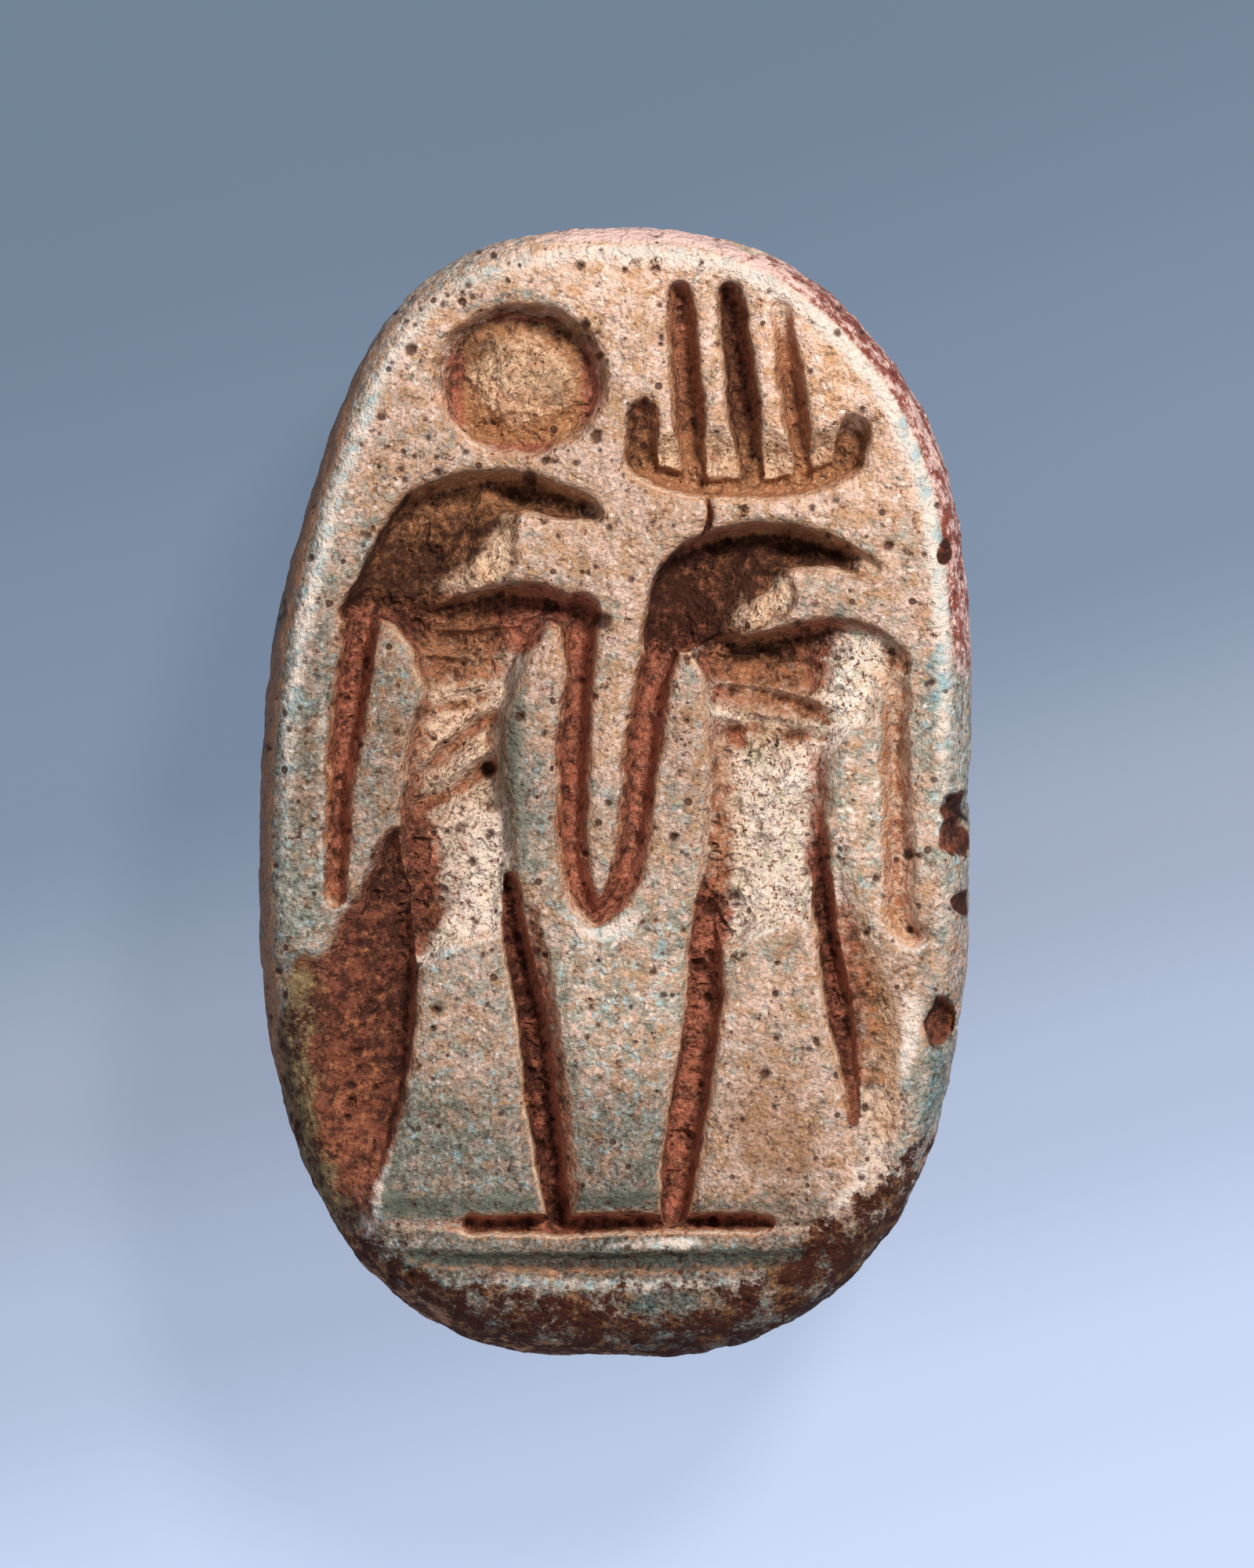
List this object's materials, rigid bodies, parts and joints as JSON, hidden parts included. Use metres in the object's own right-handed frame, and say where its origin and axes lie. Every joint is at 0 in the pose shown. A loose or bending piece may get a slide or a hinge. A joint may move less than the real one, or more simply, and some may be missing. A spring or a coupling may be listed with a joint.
{
  "type": "stamp seal amulet",
  "caption": "Small oval stamp seal amulet with a domed back, a lengthwise string hole and two standing falcon-headed figures cut into its flat face.",
  "frame": {"origin": "on the surface that the seal lies on, under the middle of its bounding box", "axes": "+Z out of the carved face, which looks up; +Y up the design, along the seal's length; +X to the design's right"},
  "size_m": [0.0101, 0.016, 0.0062],
  "materials": {
    "glazed_steatite": "matt buff steatite with worn blue-green glaze and red-brown earth in the cut lines"
  },
  "bodies": {
    "root": {"seal": "glazed_steatite"}
  },
  "joints": []
}
